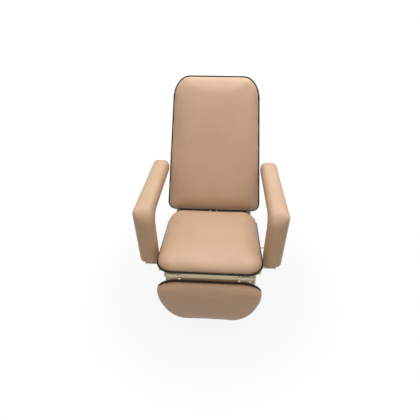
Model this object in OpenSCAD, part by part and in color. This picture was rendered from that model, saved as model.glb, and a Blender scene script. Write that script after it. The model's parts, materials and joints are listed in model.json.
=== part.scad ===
// Patient recliner chair: padded seat, linked back and legrest, L-shaped padded arms.
// Millimetres, +Z up, the sitter faces -Y, floor at Z = 0, origin under the middle of the chair.

/* [Seat] */
// Width of the seat pad at its front edge
seat_w_front = 528; // [500:1:540]
// Amount by which the seat pad is narrower at its rear edge
seat_taper = 14; // [0:1:30]
// Depth of the seat pad
seat_d = 476; // [440:1:478]
// Height of the top of the seat board above the floor
seat_board_z = 450; // [430:1:480]
// Thickness of the seat pad at its middle
seat_pad_t = 68; // [50:1:90]
// Radius of the seat pad's front corners in plan
seat_corner_front = 84; // [30:1:95]
// Radius of the seat pad's rear corners in plan
seat_corner_rear = 70; // [30:1:90]

/* [Back] */
// Lean of the back from upright when the chair is at rest, degrees
back_tilt = 22; // [15:0.5:26]
// Length of the back pad
back_l = 766; // [600:1:820]
// Width of the back pad at its bottom edge
back_w_bottom = 557; // [500:1:560]
// Width of the back pad at its top edge
back_w_top = 486; // [420:1:500]
// Thickness of the back pad
back_pad_t = 58; // [45:1:62]
// Width of the rounded shoulders at the top of the back
back_shoulder_w = 95; // [40:1:140]
// Height of the rounded shoulders at the top of the back
back_shoulder_h = 130; // [40:1:180]
// Radius of the lower corners of the back pad
back_corner_r = 45; // [20:1:70]
// Height of the pad's bottom edge above the back hinge, along the back
back_pad_lift = 18; // [16:1:60]

/* [Legrest] */
// Width of the legrest pad
legrest_w = 532; // [470:1:540]
// Length of the legrest pad
legrest_l = 328; // [260:1:340]
// Thickness of the legrest pad
legrest_pad_t = 58; // [40:1:66]
// Angle by which the legrest hangs back under the seat at rest, degrees
legrest_tuck = 5.5; // [0:0.5:8]
// Width of the rounded lower corners
legrest_toe_w = 142; // [40:1:160]
// Height of the rounded lower corners
legrest_toe_h = 185; // [40:1:200]
// Drop from the hinge to the top edge of the pad
legrest_drop = 36; // [26:1:40]

/* [Arms] */
// Gap between the seat pad's front corners and the inner face of an arm
arm_gap = 4; // [3:0.5:30]
// Width of an arm pad
arm_w = 100; // [80:1:110]
// Height of the top of the arms above the floor
arm_top_z = 728; // [680:1:760]
// Thickness of the arm's top bar
arm_bar_t = 83; // [60:1:95]
// Thickness of the arm's front post, front to rear
arm_post_t = 84; // [60:1:95]
// Distance of the arm's front face behind the front edge of the seat
arm_front = 112; // [100:1:140]
// Length of an arm, front to rear
arm_l = 546; // [420:1:580]

/* [Steel frame] */
// Side of the square tube of the seat, back and runners
box_side = 25; // [20:1:26]
// Wall of all tubes
tube_wall = 2; // [1.5:0.1:3]
// Diameter of the round leg tubes
leg_d = 22; // [20:1:25]
// Distance from the middle of the chair to the seat rails and legs
rail_x = 240; // [238:1:244]
// Thickness of the pads' boards
board_t = 12; // [9:0.5:15]
// Thickness of the steel plates
plate_t = 5; // [4:0.5:6]
// Distance of the front legs behind the front edge of the seat
front_leg_in = 150; // [145:1:165]
// Distance of the rear legs behind the front edge of the seat
rear_leg_in = 440; // [420:1:450]
// Length of the floor runners
runner_l = 520; // [480:1:560]
// Height of the rubber feet
foot_h = 12; // [8:1:20]

/* [Mechanism] */
// Distance of the back hinge behind the front edge of the seat
back_hinge_in = 544; // [542:1:560]
// Distance of the legrest hinge behind the front edge of the seat
legrest_hinge_in = 20; // [16:1:22]
// Radius of the back's crank for the tie rods
back_crank_r = 60; // [54:1:70]
// Radius of the legrest's crank for the tie rods
legrest_crank_r = 37; // [35:1:40]
// Radius of the back's crank for the gas spring
gas_crank_r = 60; // [54:1:66]
// Diameter of the gas spring's barrel
gas_barrel_d = 28; // [22:1:30]
// Diameter of the gas spring's rod
gas_rod_d = 10; // [8:1:12]
// Travel of the gas spring
gas_stroke = 40; // [38:1:60]
// Radius of the hinge pins
hinge_pin_r = 6; // [5:0.5:7]
// Radius of the tie rods' pins
rod_pin_r = 5; // [4:0.5:5.5]
// Radial running clearance of the pins
run_gap = 0.05; // [0.02:0.01:0.1]
// Radial room at the tie rods' front pins
rod_front_room = 2.1; // [2:0.1:3]
// Radial room at the gas spring's rear pin
gas_rear_room = 3.2; // [3:0.1:4]

/* [Hidden] */
$fn = 48;

// Colours of the finishes
vinyl = "#c9a27e";
piping_black = "#1c1a19";
cream = "#e6dcc4";
board_wood = "#a98a63";
zinc = "#b9bcc0";
black_plastic = "#232325";

// Soft edges of the pads
piping_d = 9;
fit_gap = 0.3;
seat_edge_r = 28;
back_edge_r = 32;
legrest_edge_r = 26;
pad_crown = 8;
crown_run = 70;
arm_edge_r = 22;
board_inset = 5;
least_r = 4;

// Heights of the frame, from the seat board down to the floor
rail_top_z = seat_board_z - board_t;
rail_z = rail_top_z - box_side;
runner_top_z = foot_h + box_side;
back_hinge_lift = 8;
legrest_hinge_lift = 5;
back_hinge_z = rail_z + back_hinge_lift;
legrest_hinge_z = rail_z + legrest_hinge_lift;
front_cross_z = 260;
rear_cross_z = 100;

// Front to rear: the chair is centred between the legrest's front and the back's rear top
back_rear_reach = back_hinge_in + (back_pad_lift + back_l) * sin(back_tilt);
legrest_front_reach = legrest_hinge_in - legrest_pad_t;
front_y = -(back_rear_reach + legrest_front_reach) / 2;
back_hinge_y = front_y + back_hinge_in;
legrest_hinge_y = front_y + legrest_hinge_in;
front_leg_y = front_y + front_leg_in;
rear_leg_y = front_y + rear_leg_in;
runner_lead = 20;
runner_y = front_leg_y - runner_lead;
foot_in = 35;
foot_r = 16;
cap_t = 3;
plug_l = 12;

// The back's own frame has the hinge at its origin, its tubes along Z and its pad towards -Y
board_back_y = -box_side / 2;
back_plane_y = board_back_y - board_t;

// The legrest's own frame has the hinge at its origin and its pad below and towards -Y
legrest_plane_y = 1;
legrest_tube = 20;
legrest_top_corner = [105, 80];
legrest_tube_y = legrest_plane_y + board_t;

// Layers of the side mechanism, outwards from the middle of the chair
hinge_spacer = 7;
bracket_x = rail_x - box_side / 2 - plate_t;
crank_x = bracket_x - hinge_spacer - plate_t;
back_tube_x = crank_x - box_side / 2;
legrest_tube_x = crank_x - legrest_tube;
rod_side_room = 2;
rod_x = crank_x + plate_t + rod_side_room;
rod_t = 6;
rod_w = 12;
rod_rear_wall = 5;
rod_front_wall = 3;
rod_head_h = 3;
rod_rear_rim = 2.5;
rod_front_rim = 4.5;

// Crank angles from straight down towards the rear, degrees
back_crank_a = 38;
legrest_crank_a = 42;
crank_w = 22;
rod_rear = [
    back_hinge_y + back_crank_r * sin(back_crank_a),
    back_hinge_z - back_crank_r * cos(back_crank_a)
];
rod_front = [
    legrest_hinge_y + legrest_crank_r * sin(legrest_crank_a),
    legrest_hinge_z - legrest_crank_r * cos(legrest_crank_a)
];
rod_l = norm(rod_front - rod_rear);
rod_a = atan2(rod_front[1] - rod_rear[1], rod_front[0] - rod_rear[0]);

// Legrest hinge: knuckles between pairs of ears
knuckle_x = 155;
knuckle_w = 45;
knuckle_r = 10;
ear_gap = 2;
ear_rim = 1;
ear_x = [knuckle_x - ear_gap - plate_t, knuckle_x + knuckle_w + ear_gap];
apron_t = 3;
apron_in = 12;
apron_drop = 30;
apron_top_gap = 4;
apron_h = rail_z + box_side - apron_top_gap - legrest_hinge_z + apron_drop;

// Gas spring from the middle rail to the back's crank, with its valve end at the front
gas_front_in = 260;
gas_drop = 15;
gas_front = [front_y + gas_front_in, rail_z - gas_drop];
gas_crank_a = 110;
gas_crank_rim = 6;
gas_rear_a = back_tilt + gas_crank_a;
gas_rear = [
    back_hinge_y + gas_crank_r * sin(gas_rear_a),
    back_hinge_z + gas_crank_r * cos(gas_rear_a)
];
gas_l = norm(gas_rear - gas_front);
gas_a = atan2(gas_rear[1] - gas_front[1], gas_rear[0] - gas_front[0]);
gas_head_w = 24;
gas_head_l = 26;
gas_eye_r = 13;
gas_end_room = 36;
gas_neck = [12, 6, 16];
gas_barrel_start = gas_head_l + gas_stroke + gas_end_room;
gas_barrel_end = gas_l - gas_eye_r - gas_neck[1];
gas_barrel_cap = 7;
gas_rod_inside = 20;
gas_side_room = 2;
gas_eye_room = 1;
crank_plate_gap = gas_barrel_d + 2 * gas_side_room;
gas_eye_w = crank_plate_gap - 2 * gas_eye_room;

// Arms
arm_inner_x = seat_w_front / 2 + arm_gap;
arm_front_y = front_y + arm_front;
arm_plate_drop = 43;
arm_plate_z = rail_z - arm_plate_drop;
arm_foot_gap = 3;
arm_low_z = arm_plate_z + plate_t + arm_foot_gap;
arm_core_d = 25;
arm_core_x = arm_inner_x + arm_w / 2;
arm_core_y = arm_front_y + arm_post_t / 2;
arm_core_z = arm_top_z - arm_bar_t / 2;
arm_foot_z = arm_plate_z + plate_t;
arm_bracket_in = 23;
arm_bracket_out = 33;
arm_core_stop = 40;
arm_rail_l = arm_l - arm_post_t / 2 - arm_core_stop;
arm_toe_r = 34;
arm_heel_r = 28;
arm_brow_r = 12;
arm_brow_inner_r = 32;
arm_crook_r = 34;

// Seat frame and its bolts
rail_front_in = 50;
rail_tail = 28;
rail_l = rear_leg_in + rail_tail - rail_front_in;
cross_rail_l = 2 * rail_x - box_side;
bolt_ahead = 60;
bolt_head_r = 7;
bolt_head_h = 5;

// Back hinge: brackets on the rails' rear ends, pins, bushes and crank plates
bracket_grip = 60;
bracket_r = 15;
bracket_start_y = front_y + rail_front_in + rail_l - bracket_grip;
rear_rail_gap = 5;
rear_rail_y = bracket_start_y - box_side - rear_rail_gap;
pin_head_h = 5;
pin_head_rim = 4;
pin_end = 2;
bush_wall = 3;
bush_r = hinge_pin_r + bush_wall;
bush_l = 12;
bush_rim = 4;
boss_rim = 4;
boss_r = box_side / 2 + boss_rim;
crank_tail_l = 120;
back_tube_gap = 1;
back_tube_foot = box_side / 2 + back_tube_gap;
back_tube_stop = 90;
back_tube_l = back_l - back_tube_stop;
back_top_drop = 60;
screw_r = 6;
screw_h = 3.5;
screw_places = [0.27, 0.62, 0.84];

// Legrest frame: hinge arms behind the board's top, side tubes below them
hinge_arm_l = 85;
gusset_rise = 6;
gusset_z = legrest_drop - gusset_rise;
gusset_a = 24;
legrest_tube_gap = 5;
legrest_tube_top = -hinge_arm_l - legrest_tube_gap;
legrest_tube_stop = 62;
legrest_tube_l = legrest_drop + legrest_l - legrest_tube_stop + legrest_tube_top;
legrest_tube_z = legrest_tube_top - legrest_tube_l;
legrest_cross_up = 20;
legrest_crank_at = legrest_crank_r
    * [sin(legrest_crank_a - legrest_tuck), -cos(legrest_crank_a - legrest_tuck)];
lug_grip = 10;
lug_l = hinge_arm_l + lug_grip;
lug_w = 14;

// Release shaft, its lever, its cam flat and the valve pin that the cam presses
shaft_r = 5;
shaft_end = 4;
hanger_rim = 5;
hanger_gap = 6;
hanger_x = gas_head_w / 2 + hanger_gap;
hanger_places = [-hanger_x - plate_t, hanger_x, rail_x - plate_t / 2];
gas_head_rim = 8;
lever_reach = 60;
lever_x = rail_x + lever_reach;
lever_l = 62;
lever_w = 14;
lever_a = 142;
grip_r = 10;
grip_l = 34;
cam_depth = 2;
cam_flat = shaft_r - cam_depth;
cam_w = 8;
valve_r = 2.5;
valve_travel = 1.5;
valve_gap = 0.6;
valve_bore_l = 12;
rod_seat = 10;
rod_start = gas_head_l - rod_seat;
valve_start = cam_flat + valve_gap;

// Points of an elliptic arc from angle a to angle b
function arc(cx, cy, rx, ry, a, b, n = 6) =
    [for (i = [0:n]) [cx + rx * cos(a + (b - a) * i / n), cy + ry * sin(a + (b - a) * i / n)]];

// Outline of a pad: width w0 at v = 0 and w1 at v = l, corners c0 and c1, drawn in by an inset
function pad_outline(w0, w1, l, c0, c1, inset = 0) =
    let (
        h0 = w0 / 2 - inset,
        h1 = w1 / 2 - inset,
        r0 = [max(c0[0] - inset, least_r), max(c0[1] - inset, least_r)],
        r1 = [max(c1[0] - inset, least_r), max(c1[1] - inset, least_r)]
    )
    concat(
        arc(h0 - r0[0], inset + r0[1], r0[0], r0[1], -90, 0),
        arc(h1 - r1[0], l - inset - r1[1], r1[0], r1[1], 0, 90),
        arc(r1[0] - h1, l - inset - r1[1], r1[0], r1[1], 90, 180),
        arc(r0[0] - h0, inset + r0[1], r0[0], r0[1], 180, 270)
    );

// Outlines of the three pads
function seat_outline(inset = 0) =
    pad_outline(seat_w_front, seat_w_front - seat_taper, seat_d, [seat_corner_front, seat_corner_front],
        [seat_corner_rear, seat_corner_rear], inset);
function back_outline(inset = 0) =
    pad_outline(back_w_bottom, back_w_top, back_l, [back_corner_r, back_corner_r],
        [back_shoulder_w, back_shoulder_h], inset);
function legrest_outline(inset = 0) =
    pad_outline(legrest_w, legrest_w, legrest_l, legrest_top_corner,
        [legrest_toe_w, legrest_toe_h], inset);

// Insets and heights of a pad's rings: a step for the piping, a round edge and a crown
function pad_profile(t, edge_r) =
    let (step = piping_d + fit_gap, shoulder = t - pad_crown - edge_r)
    concat(
        [[step, 0], [step, step], [0.5, step]],
        [for (i = [0:5]) [edge_r * (1 - cos(18 * i)), shoulder + edge_r * sin(18 * i)]],
        [for (u = [0.25, 0.6, 1]) [edge_r + crown_run * u, t - pad_crown * (1 - u) * (1 - u)]]
    );

// Triangles that close a ring, as a strip between its first half and its second half
function cap_faces(n) = [
    for (i = [0:n / 2 - 2]) each [[i, i + 1, n - 2 - i], [i, n - 2 - i, n - 1 - i]]
];

// A solid skinned over closed rings that all have the same even number of points
module skin(rings) {
    n = len(rings[0]);
    last = len(rings) - 1;
    side_faces = [
        for (k = [0:last - 1]) for (i = [0:n - 1]) let (j = (i + 1) % n, a = k * n, b = a + n)
            each [[a + i, b + i, b + j], [a + i, b + j, a + j]]
    ];
    polyhedron(
        points = [for (r = rings) each r],
        faces = concat(
            [for (f = cap_faces(n)) f],
            side_faces,
            [for (f = cap_faces(n)) [for (i = [2:-1:0]) last * n + f[i]]]
        )
    );
}

// A round bar swept along a closed flat outline at a height
module swept_loop(outline, height, r, sides = 8) {
    n = len(outline);
    rings = [
        for (i = [0:n - 1])
            let (
                p = outline[i],
                d = outline[(i + 1) % n] - outline[(i + n - 1) % n],
                out = [d[1], -d[0]] / norm(d)
            )
            [for (k = [0:sides - 1]) let (a = 360 * k / sides)
                [p[0] + out[0] * r * cos(a), p[1] + out[1] * r * cos(a), height + r * sin(a)]]
    ];
    polyhedron(
        points = [for (r = rings) each r],
        faces = [
            for (i = [0:n - 1]) for (k = [0:sides - 1])
                let (a = i * sides, b = ((i + 1) % n) * sides, m = (k + 1) % sides)
                each [[a + k, a + m, b + m], [a + k, b + m, b + k]]
        ]
    );
}

// Rings of a pad that lies flat on its board, the face that is sat on up
function lifted(outline, height) = [for (q = outline) [q[0], q[1], height]];

module pad_cord(outline) swept_loop(outline, piping_d / 2, piping_d / 2);

module pad_board(outline) translate([0, 0, -board_t]) linear_extrude(board_t) polygon(outline);

// Places of the assemblies
module at_seat() translate([0, front_y, seat_board_z]) children();
module at_back() translate([0, back_hinge_y, back_hinge_z]) rotate([-back_tilt, 0, 0]) children();
module at_back_pad()
    at_back() translate([0, back_plane_y, back_pad_lift]) rotate([90, 0, 0]) children();
module at_legrest()
    translate([0, legrest_hinge_y, legrest_hinge_z]) rotate([legrest_tuck, 0, 0]) children();
module at_legrest_pad()
    at_legrest() translate([0, legrest_plane_y, -legrest_drop]) rotate([-90, 0, 180]) children();
module at_gas() translate([0, gas_front[0], gas_front[1]]) rotate([gas_a, 0, 0]) children();

// Both sides of the chair, left is -X
module mirrored() {
    children();
    mirror([1, 0, 0]) children();
}
module left() mirror([1, 0, 0]) children();

// A plate drawn in the YZ plane, from x0 outwards
module plate(x0, t = plate_t)
    translate([x0, 0, 0]) rotate([90, 0, 90]) linear_extrude(t) children();

// A flat bar with round ends, from the origin along +U
module bar_2d(l, w) {
    translate([0, -w / 2]) square([l, w]);
    circle(d = w);
    translate([l, 0]) circle(d = w);
}

// A round solid along X
module along_x(x0, l, r) translate([x0, 0, 0]) rotate([0, 90, 0]) cylinder(h = l, r = r);

// A square tube along Y, X or Z from a corner
module box_tube_y(at, side, l) translate(at) difference() {
    cube([side, l, side]);
    translate([tube_wall, -1, tube_wall]) cube([side - 2 * tube_wall, l + 2, side - 2 * tube_wall]);
}
module box_tube_x(at, side, l) translate(at) difference() {
    cube([l, side, side]);
    translate([-1, tube_wall, tube_wall]) cube([l + 2, side - 2 * tube_wall, side - 2 * tube_wall]);
}
module box_tube_z(at, side, l) translate(at) difference() {
    cube([side, side, l]);
    translate([tube_wall, tube_wall, -1]) cube([side - 2 * tube_wall, side - 2 * tube_wall, l + 2]);
}

// Base
module base_runner() color(cream)
    box_tube_y([rail_x - box_side / 2, runner_y, foot_h], box_side, runner_l);
module base_runner_left() left() base_runner();
module base_runner_right() base_runner();

module runner_end_cap() {
    plug = box_side - 2 * tube_wall - 2 * run_gap;
    translate([-box_side / 2, -cap_t, -box_side / 2]) cube([box_side, cap_t, box_side]);
    translate([-plug / 2, 0, -plug / 2]) cube([plug, plug_l, plug]);
}
module runner_end_caps() color(black_plastic) mirrored()
    translate([rail_x, runner_y + runner_l / 2, foot_h + box_side / 2])
        for (rear = [0, 1]) mirror([0, rear, 0]) translate([0, -runner_l / 2, 0]) runner_end_cap();

module floor_feet() color(black_plastic) mirrored()
    for (y = [runner_y + foot_in, runner_y + runner_l - foot_in])
        translate([rail_x, y, 0]) cylinder(h = foot_h, r = foot_r);

module leg(y) color(cream) translate([rail_x, y, runner_top_z]) difference() {
    cylinder(h = rail_z - runner_top_z, d = leg_d);
    translate([0, 0, -1]) cylinder(h = rail_z - runner_top_z + 2, d = leg_d - 2 * tube_wall);
}
module front_leg_left() left() leg(front_leg_y);
module front_leg_right() leg(front_leg_y);
module rear_leg_left() left() leg(rear_leg_y);
module rear_leg_right() leg(rear_leg_y);

module cross_tube(y, z) color(cream) translate([0, y, z]) difference() {
    along_x(-rail_x, 2 * rail_x, leg_d / 2);
    along_x(-rail_x - 1, 2 * rail_x + 2, leg_d / 2 - tube_wall);
    mirrored() translate([rail_x, 0, -leg_d]) cylinder(h = 2 * leg_d, d = leg_d);
}
module front_cross_tube() cross_tube(front_leg_y, front_cross_z);
module rear_cross_tube() cross_tube(rear_leg_y, rear_cross_z);

// Seat frame
module seat_rail() color(cream)
    box_tube_y([rail_x - box_side / 2, front_y + rail_front_in, rail_z], box_side, rail_l);
module seat_rail_left() left() seat_rail();
module seat_rail_right() seat_rail();

module seat_cross_rail(y) color(cream)
    box_tube_x([-cross_rail_l / 2, y, rail_z], box_side, cross_rail_l);
module seat_front_rail() seat_cross_rail(front_y + rail_front_in);
module seat_middle_rail() seat_cross_rail(gas_front[0] - box_side / 2);
module seat_rear_rail() seat_cross_rail(rear_rail_y);

module seat_board() color(board_wood) at_seat() pad_board(seat_outline(board_inset));
module seat_cushion() color(vinyl) at_seat()
    skin([for (p = pad_profile(seat_pad_t, seat_edge_r)) lifted(seat_outline(p[0]), p[1])]);
module seat_piping() color(piping_black) at_seat() pad_cord(seat_outline(piping_d / 2));

// Bolts under the seat rails that hold the board, and under the brackets that hold the arms
module frame_bolts() color(zinc) mirrored() {
    for (at = [
        [rail_x, front_leg_y - bolt_ahead, rail_z],
        [rail_x, rear_leg_y - bolt_ahead, rail_z],
        [arm_core_x, arm_core_y, arm_plate_z]
    ])
        translate(at - [0, 0, bolt_head_h]) cylinder(h = bolt_head_h, r = bolt_head_r);
}

// Back hinge: bracket plates inside the rails, pins through them
module back_hinge_brackets() color(cream) mirrored() plate(bracket_x) difference() {
    union() {
        translate([back_hinge_y, back_hinge_z]) circle(r = bracket_r);
        translate([bracket_start_y, rail_z]) square([back_hinge_y - bracket_start_y, box_side]);
    }
    translate([back_hinge_y, back_hinge_z]) circle(r = hinge_pin_r);
}

module back_hinge_pins() color(zinc) mirrored() translate([0, back_hinge_y, back_hinge_z]) {
    pin_start = crank_x - bush_l - pin_end;
    along_x(pin_start, bracket_x + plate_t - pin_start, hinge_pin_r);
    along_x(bracket_x + plate_t, pin_head_h, hinge_pin_r + pin_head_rim);
}

// Legrest hinge: two ears a side on the front rail, one pin a side
module legrest_hinge_ears() color(cream) mirrored() for (x = ear_x) plate(x) difference() {
    union() {
        translate([legrest_hinge_y, legrest_hinge_z]) circle(r = knuckle_r + ear_rim);
        translate([legrest_hinge_y, rail_z]) square([rail_front_in - legrest_hinge_in, box_side]);
    }
    translate([legrest_hinge_y, legrest_hinge_z]) circle(r = rod_pin_r);
}

module legrest_hinge_pins() color(zinc) mirrored() translate([0, legrest_hinge_y, legrest_hinge_z]) {
    along_x(ear_x[0], ear_x[1] + plate_t - ear_x[0], rod_pin_r);
    along_x(ear_x[0] - pin_head_h, pin_head_h, rod_pin_r + pin_head_rim);
}

// Apron: a strip welded between the inner ears, under the front edge of the seat
module seat_apron() color(cream)
    translate([-ear_x[0], legrest_hinge_y + apron_in, legrest_hinge_z - apron_drop])
        cube([2 * ear_x[0], apron_t, apron_h]);

// Arms: a plate under each rail carries a bent tube that the arm's foam is moulded round
module arm_brackets() color(cream) mirrored() difference() {
    translate([rail_x - box_side / 2, arm_core_y - arm_bracket_in, arm_plate_z])
        cube([
            arm_core_x - rail_x + box_side / 2 + arm_core_d,
            arm_bracket_in + arm_bracket_out,
            plate_t
        ]);
    translate([rail_x, front_leg_y, arm_plate_z - 1]) cylinder(h = plate_t + 2, d = leg_d);
}

module arm_core_shape(r, over = 0) translate([arm_core_x, arm_core_y, 0]) {
    translate([0, 0, arm_foot_z - over]) cylinder(h = arm_core_z - arm_foot_z + over, r = r);
    translate([0, 0, arm_core_z]) sphere(r = r);
    translate([0, 0, arm_core_z]) rotate([-90, 0, 0]) cylinder(h = arm_rail_l + over, r = r);
}
module arm_core() color(cream) difference() {
    arm_core_shape(arm_core_d / 2);
    arm_core_shape(arm_core_d / 2 - tube_wall, 1);
}
module arm_core_left() left() arm_core();
module arm_core_right() arm_core();

// Side profile of an arm in Y and Z, drawn in by an inset, with the radius of its upper front corner
function arm_profile(inset, brow_r) =
    let (
        yf = arm_front_y + inset,
        yp = arm_front_y + arm_post_t - inset,
        yb = arm_front_y + arm_l - inset,
        zl = arm_low_z + inset,
        zb = arm_top_z - arm_bar_t + inset,
        zt = arm_top_z - inset,
        toe = max(arm_toe_r - inset, least_r),
        heel = max(arm_heel_r - inset, least_r),
        brow = max(brow_r - inset, least_r),
        crook = arm_crook_r + inset
    )
    concat(
        arc(yp - toe, zl + toe, toe, toe, 270, 360),
        arc(yp + crook, zb - crook, crook, crook, 180, 90),
        arc(yb - heel, zb + heel, heel, heel, 270, 360),
        arc(yb - heel, zt - heel, heel, heel, 0, 90),
        arc(yf + brow, zt - brow, brow, brow, 90, 180),
        arc(yf + toe, zl + toe, toe, toe, 180, 270)
    );
function arm_ring(x, inset, brow_r) = [for (p = arm_profile(inset, brow_r)) [x, p[0], p[1]]];
module arm_pad() color(vinyl) difference() {
    skin(concat(
        [for (i = [5:-1:0]) let (a = 18 * i)
            arm_ring(arm_inner_x + arm_edge_r * (1 - sin(a)), arm_edge_r * (1 - cos(a)), arm_brow_inner_r)],
        [for (i = [0:5]) let (a = 18 * i)
            arm_ring(arm_inner_x + arm_w - arm_edge_r * (1 - sin(a)), arm_edge_r * (1 - cos(a)), arm_brow_r)]
    ));
    arm_core_shape(arm_core_d / 2 + run_gap, 1);
}
module arm_pad_left() left() arm_pad();
module arm_pad_right() arm_pad();

// Release shaft: hangers under the middle rail and the right rail, with plastic bushes
module release_hangers() color(cream) for (x = hanger_places) plate(x) translate(gas_front) difference() {
    union() {
        circle(r = shaft_r + bush_wall + hanger_rim);
        translate([-box_side / 2, 0]) square([box_side, gas_drop]);
    }
    circle(r = shaft_r + bush_wall);
}
module release_bushes() color(black_plastic) translate([0, gas_front[0], gas_front[1]])
    for (x = hanger_places) difference() {
        along_x(x, plate_t, shaft_r + bush_wall);
        along_x(x - 1, plate_t + 2, shaft_r + run_gap);
    }

// Back frame
module back_side_tube() color(cream) at_back()
    box_tube_z([back_tube_x - box_side / 2, -box_side / 2, back_tube_foot], box_side, back_tube_l);
module back_side_tube_left() left() back_side_tube();
module back_side_tube_right() back_side_tube();

module back_top_tube() color(cream) at_back() box_tube_x(
    [-back_tube_x + box_side / 2, -box_side / 2, back_tube_l - back_top_drop],
    box_side, 2 * back_tube_x - box_side);

module back_torsion_tube() color(cream) at_back() difference() {
    along_x(-crank_x, 2 * crank_x, box_side / 2);
    along_x(-crank_x - 1, 2 * crank_x + 2, box_side / 2 - tube_wall);
}

// Crank plates: hinge boss, tail along the side tube, arm down to the tie rod
module back_crank() color(cream) at_back() plate(crank_x) difference() {
    union() {
        circle(r = boss_r);
        translate([-box_side / 2, 0]) square([box_side, crank_tail_l]);
        rotate(back_crank_a + back_tilt - 90) bar_2d(back_crank_r, crank_w);
    }
    circle(r = bush_r);
    rotate(back_crank_a + back_tilt - 90) translate([back_crank_r, 0]) circle(r = rod_pin_r);
}
module back_crank_left() left() back_crank();
module back_crank_right() back_crank();

module back_hinge_bushes() color(black_plastic) mirrored() at_back() difference() {
    union() {
        along_x(crank_x - bush_l, plate_t + bush_l, bush_r);
        along_x(crank_x + plate_t, hinge_spacer - fit_gap, bush_r + bush_rim);
    }
    along_x(crank_x - 2 * bush_l, 4 * bush_l, hinge_pin_r + run_gap);
}

module back_board() color(board_wood) at_back_pad() pad_board(back_outline(board_inset));
module back_cushion() color(vinyl) at_back_pad()
    skin([for (p = pad_profile(back_pad_t, back_edge_r)) lifted(back_outline(p[0]), p[1])]);
module back_piping() color(piping_black) at_back_pad() pad_cord(back_outline(piping_d / 2));

module back_board_screws() color(zinc) mirrored() at_back() for (k = screw_places)
    translate([back_tube_x, box_side / 2, k * back_tube_l]) rotate([-90, 0, 0])
        cylinder(h = screw_h, r = screw_r);

// Gas spring's crank on the torsion tube, and its pin
module gas_spring_crank() color(cream) at_back()
    for (x = [-crank_plate_gap / 2 - plate_t, crank_plate_gap / 2]) plate(x) difference() {
        union() {
            circle(r = box_side / 2 + gas_crank_rim);
            rotate(90 - gas_crank_a) bar_2d(gas_crank_r, crank_w);
        }
        circle(r = box_side / 2);
        rotate(90 - gas_crank_a) translate([gas_crank_r, 0]) circle(r = rod_pin_r);
    }
module gas_spring_crank_pin() color(zinc) translate([0, gas_rear[0], gas_rear[1]]) {
    along_x(-crank_plate_gap / 2 - plate_t, crank_plate_gap + 2 * plate_t, rod_pin_r);
    along_x(crank_plate_gap / 2 + plate_t, pin_head_h, rod_pin_r + pin_head_rim);
}

// Tie rods from the back's cranks to the legrest's lugs
module tie_rod_pin(at, head_rim) translate([0, at[0], at[1]]) {
    head_x = rod_x + rod_t + fit_gap;
    along_x(crank_x, head_x - crank_x, rod_pin_r);
    along_x(head_x, rod_head_h, rod_pin_r + head_rim);
}
module tie_rod_rear_pins() color(zinc) mirrored() tie_rod_pin(rod_rear, rod_rear_rim);
module tie_rod_front_pins() color(zinc) mirrored() tie_rod_pin(rod_front, rod_front_rim);
module tie_rod() color(cream) plate(rod_x, rod_t) translate(rod_rear) rotate(rod_a) difference() {
    union() {
        bar_2d(rod_l, rod_w);
        circle(r = rod_pin_r + rod_rear_wall);
        translate([rod_l, 0]) circle(r = rod_pin_r + rod_front_room + rod_front_wall);
    }
    circle(r = rod_pin_r + run_gap);
    translate([rod_l, 0]) circle(r = rod_pin_r + rod_front_room);
}
module tie_rod_left() left() tie_rod();
module tie_rod_right() tie_rod();

// Legrest frame
module legrest_side_tube() color(cream) at_legrest() {
    box_tube_z([legrest_tube_x, legrest_tube_y, legrest_tube_z], legrest_tube, legrest_tube_l);
    plate(crank_x) translate(legrest_crank_at) difference() {
        rotate(-90) bar_2d(lug_l, lug_w);
        circle(r = rod_pin_r);
    }
}
module legrest_side_tube_left() left() legrest_side_tube();
module legrest_side_tube_right() legrest_side_tube();

module legrest_cross_tube() color(cream) at_legrest() box_tube_x(
    [-legrest_tube_x, legrest_tube_y, legrest_tube_z + legrest_cross_up],
    legrest_tube, 2 * legrest_tube_x);

// Hinge arms: a flat behind the board, a gusset over its top edge and a knuckle
module legrest_hinge_arms() color(cream) mirrored() at_legrest() plate(knuckle_x, knuckle_w)
    difference() {
        union() {
            circle(r = knuckle_r);
            polygon([
                [0, -knuckle_r],
                [legrest_tube_y, -gusset_z],
                [legrest_tube_y, -hinge_arm_l],
                [legrest_tube_y + plate_t, -hinge_arm_l],
                [legrest_tube_y + plate_t, -gusset_z],
                [knuckle_r * cos(gusset_a), -knuckle_r * sin(gusset_a)],
                [0, 0]
            ]);
        }
        circle(r = rod_pin_r + run_gap);
    }

module legrest_board() color(vinyl) at_legrest_pad() pad_board(legrest_outline(board_inset));
module legrest_cushion() color(vinyl) at_legrest_pad()
    skin([for (p = pad_profile(legrest_pad_t, legrest_edge_r)) lifted(legrest_outline(p[0]), p[1])]);
module legrest_piping() color(piping_black) at_legrest_pad() pad_cord(legrest_outline(piping_d / 2));

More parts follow.
